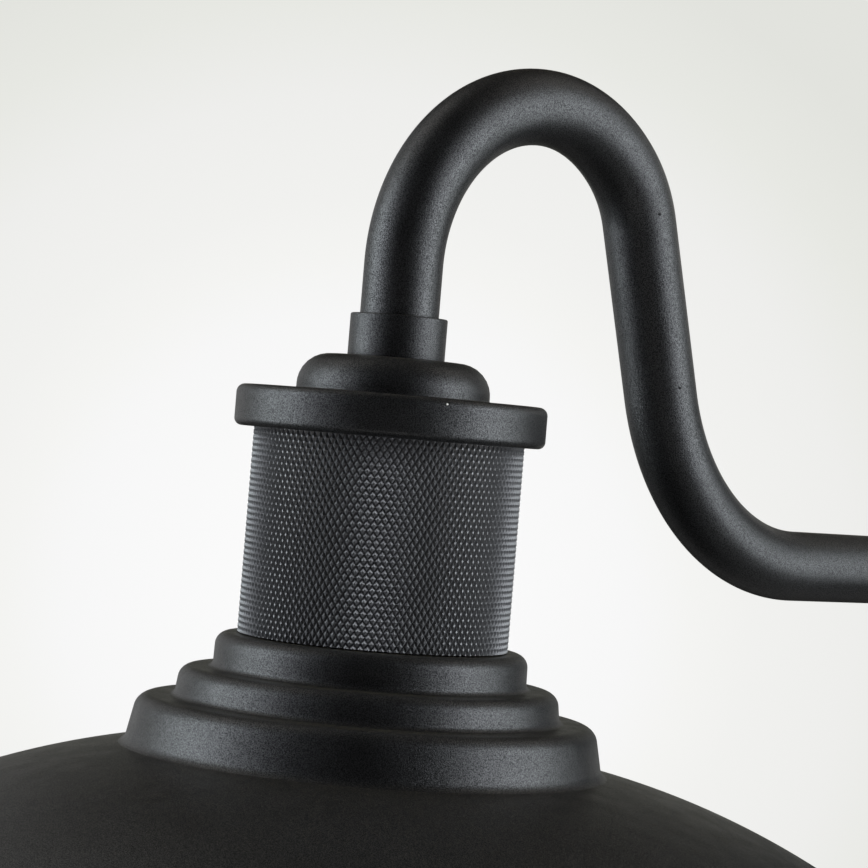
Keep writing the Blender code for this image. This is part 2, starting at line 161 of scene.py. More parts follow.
def refined(outline, longest, closed=True):
    """The outline with its long straight stretches divided, so that shading stays even."""
    drawn = []
    count = len(outline) if closed else len(outline) - 1
    for i in range(count):
        here, after = outline[i], outline[(i + 1) % len(outline)]
        parts = max(1, round((after - here).length / longest))
        drawn += [here.lerp(after, k / parts) for k in range(parts)]
    return drawn if closed else drawn + [outline[-1]]


def lathe(outline, steps=128, closed=True):
    """A bmesh of an outline (mm) turned about its height axis."""
    bm = bmesh.new()
    ring = [bm.verts.new((p[0] * MM, 0, p[1] * MM)) for p in outline]
    pairs = list(zip(ring, ring[1:])) + ([(ring[-1], ring[0])] if closed else [])
    edges = [bm.edges.new(pair) for pair in pairs]
    bmesh.ops.spin(
        bm, geom=ring + edges, axis=(0, 0, 1), cent=(0, 0, 0), angle=tau, steps=steps, use_merge=True
    )
    bmesh.ops.remove_doubles(bm, verts=bm.verts, dist=1e-7)
    return bm


def turned(name, corners, material, steps=128, place=HEAD_PLACE, parts=6, longest=2.0):
    """A turned piece from its rounded (radius, height[, fillet]) outline."""
    return new_mesh(name, lathe(refined(rounded(corners, parts), longest), steps), [material], place=place)


def sheet_outline(outer, thickness):
    """A closed outline from an outer one, thickened towards its inner side."""
    inner = []
    for i, here in enumerate(outer):
        before = outer[max(i - 1, 0)]
        after = outer[min(i + 1, len(outer) - 1)]
        run = (after - before).normalized()
        inner.append(here + Vector((run.y, -run.x)) * thickness)
    return outer + inner[::-1]


def sweep(name, points, radius, material, sides, place=None, body="root"):
    """A round bar along points in mm. Its radius is a number, or a function of the way along, 0 to 1."""
    bm = bmesh.new()
    rings = []
    up = None
    for i, here in enumerate(points):
        run = (points[min(i + 1, len(points) - 1)] - points[max(i - 1, 0)]).normalized()
        if up is None:
            up = run.orthogonal().normalized()
        up = (up - run * up.dot(run)).normalized()
        side = run.cross(up)
        r = radius(i / (len(points) - 1)) if callable(radius) else radius
        spokes = [up * cos(tau * k / sides) + side * sin(tau * k / sides) for k in range(sides)]
        rings.append([bm.verts.new((here + spoke * r) * MM) for spoke in spokes])
    for a, b in zip(rings, rings[1:]):
        for k in range(sides):
            bm.faces.new((a[k], a[(k + 1) % sides], b[(k + 1) % sides], b[k]))
    for ring in (rings[0], rings[-1]):
        bm.faces.new(ring)
    return new_mesh(name, bm, [material], body, place=place)


def smooth_path(points, parts=8):
    """A Catmull-Rom curve through points."""
    ends = [points[0] * 2 - points[1]] + list(points) + [points[-1] * 2 - points[-2]]
    drawn = []
    for a, b, c, d in zip(ends, ends[1:], ends[2:], ends[3:]):
        for k in range(parts):
            t = k / parts
            bend = (2 * a - 5 * b + 4 * c - d) * t**2 + (3 * b - a - 3 * c + d) * t**3
            drawn.append(0.5 * (2 * b + (c - a) * t + bend))
    return drawn + [points[-1]]


# ---------------------------------------------------------------- finishes


def linear(hex_colour):
    """An sRGB hex colour as linear RGBA."""
    srgb = [int(hex_colour[i : i + 2], 16) / 255 for i in (0, 2, 4)]
    return [c / 12.92 if c <= 0.04045 else ((c + 0.055) / 1.055) ** 2.4 for c in srgb] + [1.0]


def new_material(name):
    """A material, its node tree, its shader, and the texture coordinates for its patterns."""
    material = bpy.data.materials.new(name)
    material.use_nodes = True
    tree = material.node_tree
    return material, tree, tree.nodes["Principled BSDF"], node(tree, "ShaderNodeTexCoord")


def node(tree, kind, inputs=None, **settings):
    """One node: settings are its properties, inputs are values or (node, output) links."""
    made = tree.nodes.new(kind)
    for key, value in settings.items():
        setattr(made, key, value)
    for key, value in (inputs or {}).items():
        if isinstance(value, tuple) and isinstance(value[0], bpy.types.Node):
            tree.links.new(value[0].outputs[value[1]], made.inputs[key])
        else:
            made.inputs[key].default_value = value
    return made


GRAIN_MM = 0.24  # grain of the powder, as coarse as it needs to be to show
GRAIN_DEPTH_MM = 0.13
SHEEN_PATCH_MM = 7  # broad, slow change of gloss from uneven spraying
DUST = "857a62"
DUST_SHEEN = 4.5  # how strongly settled dust lights up when seen edge on


def powder_coat(name, dark, pale, rough=0.38, grain=1.0, gloss=0.5):
    """Polyester powder coat, sprayed dry and baked: a satin black with a sandy grain that breaks every
    highlight into fine specks. Upward faces hold a little pale dust in the grain."""
    material, tree, shader, place = new_material(name)
    where = (place, "Object")
    scale = 1 / (GRAIN_MM * MM)
    fine = node(
        tree, "ShaderNodeTexNoise", {"Vector": where, "Scale": scale, "Detail": 2.0, "Roughness": 0.75}
    )
    speck = node(tree, "ShaderNodeTexNoise", {"Vector": where, "Scale": 1.1 * scale, "Detail": 1.0})
    broad = node(
        tree, "ShaderNodeTexNoise", {"Vector": where, "Scale": 1 / (SHEEN_PATCH_MM * MM), "Detail": 3.0}
    )
    grit = node(tree, "ShaderNodeMapRange", {"Value": (fine, "Fac"), "From Min": 0.33, "From Max": 0.68})
    tone = node(
        tree,
        "ShaderNodeMix",
        {0: (grit, "Result"), 6: linear(dark), 7: linear(pale)},
        data_type="RGBA",
    )
    surface = node(tree, "ShaderNodeNewGeometry")
    facing = node(tree, "ShaderNodeSeparateXYZ", {"Vector": (surface, "Normal")})
    upward = node(
        tree, "ShaderNodeMapRange", {"Value": (facing, "Z"), "From Min": 0.5, "From Max": 1.0, "To Max": 0.1}
    )
    settled = node(
        tree, "ShaderNodeMapRange", {"Value": (speck, "Fac"), "From Min": 0.54, "From Max": 0.66}
    )
    amount = node(
        tree, "ShaderNodeMath", {0: (upward, "Result"), 1: (settled, "Result")}, operation="MULTIPLY"
    )
    dusty = node(
        tree,
        "ShaderNodeMix",
        {0: (amount, "Value"), 6: (tone, 2), 7: linear(DUST)},
        data_type="RGBA",
    )
    spread = {"From Min": 0.3, "From Max": 0.7, "To Min": rough - 0.04, "To Max": rough + 0.05}
    sheen = node(tree, "ShaderNodeMapRange", {"Value": (broad, "Fac"), **spread})
    spread = {
        "From Min": 0.38,
        "From Max": 0.62,
        "To Min": gloss - 0.3 * grain,
        "To Max": gloss + 0.38 * grain,
    }
    glint = node(tree, "ShaderNodeMapRange", {"Value": (speck, "Fac"), **spread})
    fuzz = node(tree, "ShaderNodeMath", {0: (amount, "Value"), 1: DUST_SHEEN}, operation="MULTIPLY")
    bump = node(
        tree,
        "ShaderNodeBump",
        {"Height": (fine, "Fac"), "Strength": 0.5 * grain, "Distance": GRAIN_DEPTH_MM * MM},
    )
    tree.links.new(fuzz.outputs["Value"], shader.inputs["Sheen Weight"])
    shader.inputs["Sheen Tint"].default_value = linear(DUST)
    shader.inputs["Sheen Roughness"].default_value = 0.35
    tree.links.new(dusty.outputs[2], shader.inputs["Base Color"])
    tree.links.new(sheen.outputs["Result"], shader.inputs["Roughness"])
    tree.links.new(glint.outputs["Result"], shader.inputs["Specular IOR Level"])
    tree.links.new(bump.outputs["Normal"], shader.inputs["Normal"])
    return material


def metal(name, colour, rough, mottle_mm=0.4):
    """Plated or drawn metal: a fine mottle in its gloss, as plating and handling leave it."""
    material, tree, shader, place = new_material(name)
    mottle = node(
        tree,
        "ShaderNodeTexNoise",
        {"Vector": (place, "Object"), "Scale": 1 / (mottle_mm * MM), "Detail": 3.0},
    )
    sheen = node(
        tree, "ShaderNodeMapRange", {"Value": (mottle, "Fac"), "To Min": rough * 0.75, "To Max": rough * 1.3}
    )
    tree.links.new(sheen.outputs["Result"], shader.inputs["Roughness"])
    bump = node(tree, "ShaderNodeBump", {"Height": (mottle, "Fac"), "Strength": 0.15, "Distance": 0.02 * MM})
    tree.links.new(bump.outputs["Normal"], shader.inputs["Normal"])
    shader.inputs["Base Color"].default_value = linear(colour)
    shader.inputs["Metallic"].default_value = 1.0
    return material


def smooth_body(name, colour, shade, rough, patch_mm=3.0, coat=0.0):
    """Moulded or glazed piece: one colour with slight clouding and a soft uneven gloss."""
    material, tree, shader, place = new_material(name)
    cloud = node(
        tree,
        "ShaderNodeTexNoise",
        {"Vector": (place, "Object"), "Scale": 1 / (patch_mm * MM), "Detail": 4.0},
    )
    tone = node(tree, "ShaderNodeValToRGB", {"Fac": (cloud, "Fac")})
    tone.color_ramp.elements[0].color = linear(shade)
    tone.color_ramp.elements[1].color = linear(colour)
    sheen = node(
        tree, "ShaderNodeMapRange", {"Value": (cloud, "Fac"), "To Min": rough * 0.8, "To Max": rough * 1.2}
    )
    bump = node(tree, "ShaderNodeBump", {"Height": (cloud, "Fac"), "Strength": 0.1, "Distance": 0.05 * MM})
    tree.links.new(tone.outputs["Color"], shader.inputs["Base Color"])
    tree.links.new(sheen.outputs["Result"], shader.inputs["Roughness"])
    tree.links.new(bump.outputs["Normal"], shader.inputs["Normal"])
    shader.inputs["Coat Weight"].default_value = coat
    return material


def clear_glass(name):
    """Blown soda-lime glass: clear, thin-walled, with very faint ripple."""
    material, tree, shader, place = new_material(name)
    ripple = node(
        tree, "ShaderNodeTexNoise", {"Vector": (place, "Object"), "Scale": 1 / (12 * MM), "Detail": 2.0}
    )
    bump = node(tree, "ShaderNodeBump", {"Height": (ripple, "Fac"), "Strength": 0.04, "Distance": 0.1 * MM})
    tree.links.new(bump.outputs["Normal"], shader.inputs["Normal"])
    shader.inputs["Base Color"].default_value = linear("fbfcfc")
    shader.inputs["Roughness"].default_value = 0.0
    shader.inputs["IOR"].default_value = 1.5
    shader.inputs["Transmission Weight"].default_value = 1.0
    return material


# Sprayed steel and spun steel
COAT = powder_coat("black_powder_coat", "030303", "252525")
# The same coat over cut diamonds, glossier, its colour painted paler than the coat's: a painted highlight for the
# extra light the facets catch
KNURL_COAT_PAINTED_PALER = powder_coat("black_coat_on_knurl", "3b3b3c", "5e5e5f", rough=0.34, grain=0.35, gloss=0.9)
# Baked reflector enamel: a soft gloss over faint clouding
ENAMEL = smooth_body("white_reflector_enamel", "f1efe8", "e6e3da", 0.28, patch_mm=14.0, coat=0.3)
# Zinc plate gone dull: an even grey with a soft gleam
ZINC = metal("zinc_plated_steel", "7c7f81", 0.5)
# Drawn brass: warm yellow with a clear gleam
BRASS = metal("drawn_brass", "c9a35c", 0.28)
# Thin bright nickel: close to a mirror
NICKEL = metal("nickel_plate", "cfccc4", 0.18)
# Zinc dyed green, the mark of the ground screw
GREEN_ZINC = metal("green_dyed_zinc", "3d8a55", 0.35)
# Glazed and fired porcelain: off-white under a wet gloss
PORCELAIN = smooth_body("glazed_porcelain", "efede6", "e2dfd5", 0.14, patch_mm=8.0, coat=0.5)
# Cut foam sheet: matt, with fine cells
FOAM = smooth_body("closed_cell_foam", "232323", "151515", 0.9, patch_mm=0.6)
# Extruded wire insulation: one flat colour with a low sheen
BLACK_PVC = smooth_body("black_wire_insulation", "1c1c1d", "131314", 0.45)
WHITE_PVC = smooth_body("white_wire_insulation", "e9e7e0", "dcd9d0", 0.45)
GREEN_PVC = smooth_body("green_wire_insulation", "2f7b45", "276a3b", 0.45)
# Moulded nylon: even orange, slightly waxy
ORANGE = smooth_body("moulded_orange_nylon", "e07a26", "cf6c1e", 0.5)
# Cast black glass: deep black with a sharp gloss
VITRITE = smooth_body("black_vitrite", "18181b", "101013", 0.12)
# Blown glass: clear but for its edges
GLASS = clear_glass("blown_glass")
# A pin hole's painted shade: a near-black blob with no gloss, standing for the dark inside of the hole
PIN_HOLE_PAINTED_SHADE = smooth_body("pin_hole_painted_shade", "060606", "020202", 0.8, patch_mm=0.3)
# Loose lint: matt white
FLUFF = smooth_body("white_dust", "f4f2ec", "dad7cf", 0.9, patch_mm=0.2)
# Phosphor in silicone: opaque yellow, slightly waxy
PHOSPHOR = smooth_body("silicone_phosphor", "efbf4b", "dfa935", 0.55, patch_mm=0.8)


# ---------------------------------------------------------------- arm


def walk(y, sections, step=1.5):
    """Points (y, z) in mm along straights (length,) and bends (radius, turn in degrees), from height 0.
    The heading is 0 along -Y, where it starts, and 90 straight up."""
    z, heading = 0, 0
    route = [(y, z)]
    for section in sections:
        if len(section) == 1:
            parts = max(1, round(section[0] / 2.0))
            for _ in range(parts):
                y -= section[0] / parts * cos(radians(heading))
                z += section[0] / parts * sin(radians(heading))
                route.append((y, z))
            continue
        radius, turn = section
        parts = max(2, round(abs(turn) / step))
        side = 1 if turn > 0 else -1
        for k in range(1, parts + 1):
            a0 = radians(heading + turn * (k - 1) / parts)
            a1 = radians(heading + turn * k / parts)
            y -= side * radius * (sin(a1) - sin(a0))
            z -= side * radius * (cos(a1) - cos(a0))
            route.append((y, z))
        heading += turn
    return route


def arm():
    """The bent tube. Its first straight is as long as the reach leaves for it."""
    bends = [LOW_BEND, (LEG,)] + [(radius, -angle) for radius, angle in ARCH]
    width = walk(0, bends)[-1][0]
    start = -(PLATE_DEPTH + GAP)
    route = walk(start, [(REACH + start + width,)] + bends + [(DROP - TUBE_FOOT,)])
    points = [Vector((0, y, z)) for y, z in route]
    tube = sweep("arm", points, TUBE_R, COAT, sides=80)
    stands_for(tube, "black_powder_coat", "arm_tube")


def arm_fittings():
    """The collar at the wall plate and the coupling sleeve over the lid."""
    front = PLATE_DEPTH + GAP
    collar = [(8.15, front + 10), (10.4, front + 10, 1.2), (13.0, front + 0.05, 0.4), (8.15, front)]
    made = turned("arm_foot_collar", collar, COAT, 96, WALL_PLACE)
    stands_for(made, "black_powder_coat", "arm_collar")
    low, high = size_mm("arm_coupling")
    top, foot = high.z - HEAD.z, low.z - HEAD.z
    sleeve = [(8.1, top, 0.2), (9.85, top, 0.35), (9.85, foot - 0.25, 0.1), (8.1, foot - 0.25)]
    made = turned("coupling_sleeve", sleeve, COAT, 128, longest=1.5)
    stands_for(made, "black_powder_coat", "arm_coupling")


# ---------------------------------------------------------------- lampholder housing


def lid():
    """The cap with its rolled shoulder and flat rim, hollow below."""
    corners = [
        (5.3, 16.2),
        (19.6, 16.2, 6.4),
        (19.6, 8.75, 0.4),
        (RIM_R, 8.7, 1.7),
        (RIM_R, RIM_UNDER, 1.5),
        (BARREL_R + GAP, RIM_UNDER, 0.3),
        (BARREL_R + GAP, 4.0),
        (24.5, 4.0),
        (24.5, 6.4),
        (17.2, 6.4),
        (17.2, 13.7),
        (5.3, 13.7),
    ]
    made = turned("lid", corners, COAT, 160, parts=8, longest=1.4)
    stands_for(made, "black_powder_coat", "socket_lid")


KNURL_COLUMNS = 123
KNURL_ROW = 2.3  # height of one diamond, mm
KNURL_DEPTH = 0.38
KNURL_TIP = 0.28  # share of a diamond that is its flattened tip


def knurl():
    """Diamond knurling: pyramids left between two families of crossing V grooves."""
    low, high = BARREL_FOOT, 3.6
    inner = BARREL_R - 2.0
    step = tau / KNURL_COLUMNS
    rows = int((high - low) / KNURL_ROW) + 2
    bm = bmesh.new()
    corners = {}

    def at(column, row, r):
        """A point half a diamond per step of column and row."""
        angle = column * step / 2
        return Vector((r * cos(angle) * MM, r * sin(angle) * MM, (low + row * KNURL_ROW / 2) * MM))

    def corner(column, row):
        key = (column % (2 * KNURL_COLUMNS), row)
        if key not in corners:
            corners[key] = bm.verts.new(at(*key, BARREL_R - KNURL_DEPTH))
        return corners[key]

    for row in range(-1, 2 * rows):
        for column in range(2 * KNURL_COLUMNS):
            if (row + column) % 2:
                continue
            reach = ((1, 0), (0, 1), (-1, 0), (0, -1))
            valley = [corner(column + dc, row + dr) for dc, dr in reach]
            tops = [(column + dc * KNURL_TIP, row + dr * KNURL_TIP) for dc, dr in reach]
            tip = [bm.verts.new(at(*top, BARREL_R)) for top in tops]
            bm.faces.new(tip)
            for k in range(4):
                bm.faces.new((valley[k], valley[(k + 1) % 4], tip[(k + 1) % 4], tip[k]))
    for height, side in ((low, -1), (high, 1)):
        bmesh.ops.bisect_plane(
            bm,
            geom=bm.verts[:] + bm.edges[:] + bm.faces[:],
            dist=1e-8,
            plane_co=(0, 0, height * MM),
            plane_no=(0, 0, side),
            clear_outer=True,
        )
    rim = [edge for edge in bm.edges if edge.is_boundary]
    wall = bmesh.ops.extrude_edge_only(bm, edges=rim)["geom"]
    for vert in (v for v in wall if isinstance(v, bmesh.types.BMVert)):
        flat = Vector((vert.co.x, vert.co.y))
        vert.co.x, vert.co.y = flat.normalized() * inner * MM
    made = new_mesh("knurled_sleeve", bm, [KNURL_COAT_PAINTED_PALER], smooth=False, place=HEAD_PLACE)
    stands_for(made, "knurled_coat", "knurled_barrel")


def collar():
    """The spun collar: three steps, each leaning out a little, and a thin foot on the shade."""
    top = BARREL_FOOT - GAP
    outer = rounded(
        [
            (21.0, top),
            (31.6, top, 2.6),
            (31.75, -48.4, 1.3),
            (38.2, -48.5, 2.8),
            (39.0, -54.6, 1.4),
            (46.3, -54.8, 3.3),
            (48.2, -64.1, 2.6),
            (49.6, -64.9, 0.1),
            (49.6, -65.25),
        ],
        8,
        closed=False,
    )
    outline = sheet_outline(refined(outer, 1.2, closed=False), SPUN_SHEET)
    made = new_mesh("neck_collar", lathe(outline, 192), [COAT], place=HEAD_PLACE)
    stands_for(made, "black_powder_coat", "stepped_collar")


# ---------------------------------------------------------------- shade


def dome_point(slope, start, start_slope, radius):
    """The point where an arc, leaving start at one slope in degrees, has reached another."""
    r = start[0] + radius * (sin(radians(slope)) - sin(radians(start_slope)))
    z = start[1] - radius * (cos(radians(start_slope)) - cos(radians(slope)))
    return Vector((r, z))


def shade_outline():
    """The shade's outer line from its neck hole to the rim."""
    line = [Vector((21.0, dome_point(SEAT_SLOPE, DOME_START, DOME_SLOPE, DOME_R).y + 0.2))]
    for k in range(41):
        slope = SEAT_SLOPE + (SHOULDER_SLOPE - SEAT_SLOPE) * k / 40
        line.append(dome_point(slope, DOME_START, DOME_SLOPE, DOME_R))
    shoulder = line[-1]
    for k in range(1, 25):
        slope = SHOULDER_SLOPE + (SKIRT_SLOPE - SHOULDER_SLOPE) * k / 24
        line.append(dome_point(slope, shoulder, SHOULDER_SLOPE, SHOULDER_R))
    skirt = line[-1]
    run = Vector((cos(radians(SKIRT_SLOPE)), -sin(radians(SKIRT_SLOPE))))
    lip = [Vector((SHADE_R - 3.5, SHADE_FOOT + 3.2)), Vector((SHADE_R - 1.0, SHADE_FOOT + 1.2))]
    return line[:-1] + smooth_path([skirt, skirt + run * 6] + lip, 8)


def shade():
    """The spun dome, coated outside and enamelled inside, with a bead rolled into its rim."""
    bm = lathe(sheet_outline(shade_outline(), SHADE_SHEET), 256)
    made = new_mesh("dome_shade", bm, [COAT, ENAMEL], place=HEAD_PLACE)
    for face in made.data.polygons:
        centre = face.center / MM
        radial = Vector((centre.x, centre.y)).normalized()
        inward = face.normal.z < -0.05 or face.normal.x * radial.x + face.normal.y * radial.y < -0.3
        face.material_index = 1 if inward and hypot(centre.x, centre.y) < SHADE_R - 2.5 else 0
    stands_for(made, "black_powder_coat", "shade")
    bead = arc((SHADE_R - 1.4, SHADE_FOOT + 1.35), 1.3, 0, 360, 16)[:-1]
    made = new_mesh("rolled_rim", lathe(bead, 256), [COAT], place=HEAD_PLACE)


# ---------------------------------------------------------------- threads and small hardware


def thread(bm, centre, radius, depth, pitch, low, high):
    """Cut a rounded helical thread into the turned surface that lies at a radius (all mm)."""
    for vert in bm.verts:
        x, y, z = vert.co.x / MM - centre[0], vert.co.y / MM - centre[1], vert.co.z / MM
        r = hypot(x, y)
        if abs(r - radius) > 0.02 or not low < z < high:
            continue
        fade = min(1.0, (z - low) / pitch, (high - z) / pitch)
        wave = 0.5 - 0.5 * cos(tau * (z / pitch - atan2(y, x) / tau))
        scale = (r - depth * fade * wave) / r
        vert.co.x, vert.co.y = (centre[0] + x * scale) * MM, (centre[1] + y * scale) * MM


def stem(radius, low, high, bore, step):
    """Outline of a round bar or pipe whose outside is divided finely enough for a thread."""
    parts = max(2, round((high - low) / step))
    side = [Vector((radius, low + (high - low) * k / parts)) for k in range(parts + 1)]
    return [Vector((bore, low))] + side + [Vector((bore, high))]


def threaded(name, node_name, radius, low, high, bore, pitch, at=(0, 0), place=HEAD_PLACE):
    """A zinc-plated screw, or a pipe where it has a bore, threaded all along."""
    bm = lathe(stem(radius, low, high, bore, pitch / 6), 32, closed=bore > 0)
    bmesh.ops.translate(bm, verts=bm.verts, vec=Vector((at[0], at[1], 0)) * MM)
    thread(bm, at, radius, 0.35, pitch, low, high)
    made = new_mesh(name, bm, [ZINC], place=place)
    stands_for(made, "zinc_plated_steel", node_name)


def plate_piece(name, node_name, outer, holes, low, high, chamfer=0.25):
    """A flat zinc-plated piece at the wall: an outline with holes, thickened, its edges broken."""
    curve = bpy.data.curves.new(name, "CURVE")
    curve.dimensions = "2D"
    curve.fill_mode = "BOTH"
    for loop in [outer] + holes:
        spline = curve.splines.new("POLY")
        spline.points.add(len(loop) - 1)
        spline.use_cyclic_u = True
        for point, (x, y) in zip(spline.points, loop):
            point.co = (x * MM, y * MM, 0, 1)
    curve.extrude = ((high - low) / 2 - chamfer) * MM
    curve.bevel_depth = chamfer * MM
    curve.bevel_resolution = 2
    curve.offset = -chamfer * MM
    cutout = bpy.data.objects.new(name, curve)
    bpy.context.scene.collection.objects.link(cutout)
    bpy.context.view_layer.update()
    mesh = bpy.data.meshes.new_from_object(cutout)
    bpy.data.objects.remove(cutout)
    bm = bmesh.new()
    bm.from_mesh(mesh)
    bmesh.ops.remove_doubles(bm, verts=bm.verts, dist=1e-7)
    bmesh.ops.translate(bm, verts=bm.verts, vec=(0, 0, (low + high) / 2 * MM))
    made = new_mesh(name, bm, [ZINC], smooth=False, place=WALL_PLACE)
    stands_for(made, "zinc_plated_steel", node_name)


def ring_of(radius, x=0, y=0, sides=48):
    """A round hole or disc."""
    return [(x + radius * cos(tau * k / sides), y + radius * sin(tau * k / sides)) for k in range(sides)]


def long_hole(length, width, x=0):
    """A slot with round ends, lying along x."""
    half = length / 2 - width / 2
    ends = []
    for side in (1, -1):
        for k in range(13):
            a = -pi / 2 + pi * k / 12
            ends.append((x + side * (half + width / 2 * cos(a)), side * width / 2 * sin(a)))
    return ends


def ground_bolt():
    """The green ground screw: a pan head with a cross recess, and its shank."""
    radius, low, high = 3.6, 1.8, 4.6
    crown = [(0, high), (radius * 0.55, high - 0.02), (radius, high - (high - low) * 0.45, 0.4)]
    outline = crown + [(radius, low, 0.1), (1.7, low), (1.7, GAP), (0, GAP)]
    bm = lathe(refined(rounded(outline, 4, closed=False), 0.5, closed=False), 32, closed=False)
    mesh = bpy.data.meshes.new("ground_bolt")
    bmesh.ops.recalc_face_normals(bm, faces=bm.faces)
    bm.to_mesh(mesh)
    bm.free()
    bolt = bpy.data.objects.new("ground_bolt", mesh)
    bpy.context.scene.collection.objects.link(bolt)
    for turn in (0.4, 0.4 + pi / 2):
        bar = bmesh.new()
        bmesh.ops.create_cube(bar, size=1.0)
        bmesh.ops.scale(bar, verts=bar.verts, vec=(radius * 1.25 * MM, radius * 0.28 * MM, 1.2 * MM))
        bmesh.ops.rotate(bar, verts=bar.verts, cent=(0, 0, 0), matrix=Matrix.Rotation(turn, 3, "Z"))
        bmesh.ops.translate(bar, verts=bar.verts, vec=(0, 0, (high + 0.1) * MM))
        recess_mesh = bpy.data.meshes.new("recess")
        bar.to_mesh(recess_mesh)
        bar.free()
        recess = bpy.data.objects.new("recess", recess_mesh)
        bpy.context.scene.collection.objects.link(recess)
        cut = bolt.modifiers.new("Recess", "BOOLEAN")
        cut.object = recess
        cut.operation = "DIFFERENCE"
        cut.solver = "EXACT"
        bpy.context.view_layer.update()
        view = bpy.context.evaluated_depsgraph_get()
        done = bpy.data.meshes.new_from_object(bolt.evaluated_get(view))
        bolt.modifiers.clear()
        bolt.data = done
        bpy.data.objects.remove(recess)
    bm = bmesh.new()
    bm.from_mesh(bolt.data)
    bpy.data.objects.remove(bolt)
    bmesh.ops.translate(bm, verts=bm.verts, vec=Vector((*GROUND_SCREW, 0)) * MM)
    made = new_mesh("ground_bolt_cross", bm, [GREEN_ZINC], smooth=False, place=WALL_PLACE)
    stands_for(made, "green_steel", "ground_screw")


def hexagon_nut(name, node_name, low, high, place):
    """A zinc-plated hexagon nut for the pipe, its corners turned down at both faces."""
    outer = NUT_HALF / cos(pi / 6)
    bm = lathe([Vector(p) for p in ((NUT_BORE, low), (outer, low), (outer, high), (NUT_BORE, high))], 72)
    for vert in bm.verts:
        x, y = vert.co.x / MM, vert.co.y / MM
        r = hypot(x, y)
        if r > NUT_BORE + 0.1:
            a = (atan2(y, x) + pi / 6) % (pi / 3) - pi / 6
            scale = min(NUT_HALF / cos(a), outer - 0.15) / r
            vert.co.x, vert.co.y = x * scale * MM, y * scale * MM
    edges = [e for e in bm.edges if all(hypot(v.co.x, v.co.y) > (NUT_BORE + 0.5) * MM for v in e.verts)]
    level = [e for e in edges if abs(e.verts[0].co.z - e.verts[1].co.z) < 1e-7]
    bmesh.ops.bevel(bm, geom=level, offset=0.35 * MM, segments=2, affect="EDGES", profile=0.6)
    made = new_mesh(name, bm, [ZINC], smooth=False, place=place)
    stands_for(made, "zinc_plated_steel", node_name)


# ---------------------------------------------------------------- wall end


def wall_end():
    """The wall plate and everything that holds it and the arm."""
    corners = [
        (5.3, PLATE_DEPTH),
        (46.5, PLATE_DEPTH, 3.0),
        (47.0, 18.6, 0.8),
        (58.8, 18.2, 3.5),
        (PLATE_R, 2.3),
    ]
    outer = refined(rounded(corners, 8, closed=False), 1.5, closed=False)
    made = new_mesh("canopy", lathe(sheet_outline(outer, SPUN_SHEET), 192), [COAT], place=WALL_PLACE)
    stands_for(made, "black_powder_coat", "wall_plate")
    foam = [(PLATE_R - 0.6, 2.0, 0.3), (PLATE_R - 0.6, 0, 0.3), (52.0, 0, 0.3), (52.0, 2.0, 0.3)]
    made = turned("foam_ring", foam, FOAM, 128, WALL_PLACE, parts=3)
    stands_for(made, "foam_rubber", "wall_gasket")
    holes = [ring_of(2.3, side * PLATE_SCREW_X) for side in (-1, 1)]
    holes += [long_hole(12, 4.6, side * 22) for side in (-1, 1)] + [ring_of(2.0, *GROUND_SCREW)]
    plate_piece("bar", "mounting_bar", long_hole(94, 18), holes, 0, 1.5)
    face = PLATE_DEPTH + GAP
    for side, word in ((-1, "left"), (1, "right")):
        at = (side * PLATE_SCREW_X, 0)
        threaded(f"stud_{word}", f"plate_screw_{word}", 2.0, GAP, 31, 0.0, 0.8, at, WALL_PLACE)
        dome = arc((0, face + 4.0), 5.6, 90, 4, 14)
        flange = [(5.6, face + 3.3), (6.1, face + 3.0), (6.4, face + 2.6), (6.4, face), (2.3, face)]
        outline = dome + [Vector(point) for point in flange]
        bm = lathe(refined(outline, 0.5, closed=False), 48, closed=False)
        bmesh.ops.translate(bm, verts=bm.verts, vec=Vector((*at, 0)) * MM)
        made = new_mesh(f"acorn_nut_{word}", bm, [COAT], place=WALL_PLACE)
        stands_for(made, "black_powder_coat", f"cap_nut_{word}")
    ground_bolt()
    threaded("wall_pipe", "wall_nipple", PIPE_R, 13, 39, PIPE_BORE, PIPE_PITCH, place=WALL_PLACE)
    back = PLATE_DEPTH - SPUN_SHEET - GAP
    plate_piece("steel_washer", "plate_washer", ring_of(11), [ring_of(NUT_BORE)], back - 1.2, back)
    hexagon_nut("jam_nut", "plate_lock_nut", back - 5.5, back - 1.5, WALL_PLACE)


def connectors():
    """Twist-on wire connectors: a tapering cone with grip ribs and a flared skirt."""
    for word in ("line", "neutral", "ground"):
        low, high = size_mm(f"connector_{word}")
        mouth = high.z
        centre = (low + high) / 2
        cone = [(0, 20), (3.4, 20, 1.2), (5.5, 7), (6.2, 3, 0.6), (6.2, 0, 0.4)]
        corners = cone + [(3.4, 0), (2.2, 4), (2.2, 13), (0, 13)]
        bm = lathe(refined(rounded(corners, 5, closed=False), 0.7, closed=False), 96, closed=False)
        for vert in bm.verts:
            r, z = hypot(vert.co.x, vert.co.y), vert.co.z / MM
            if r > 2.6 * MM and 4.5 < z < 18.5:
                fade = min(1.0, (z - 4.5) / 1.5, (18.5 - z) / 1.5)
                scale = 1 - 0.07 * fade * (0.5 - 0.5 * cos(16 * atan2(vert.co.y, vert.co.x)))
                vert.co.x *= scale
                vert.co.y *= scale
        place = Matrix.Translation(Vector((centre.x, centre.y, mouth)) * MM) @ Matrix.Rotation(pi, 4, "X")
        made = new_mesh(f"wire_nut_{word}", bm, [ORANGE], place=place)
        stands_for(made, "connector_plastic", f"connector_{word}")


# ---------------------------------------------------------------- lampholder and its screws


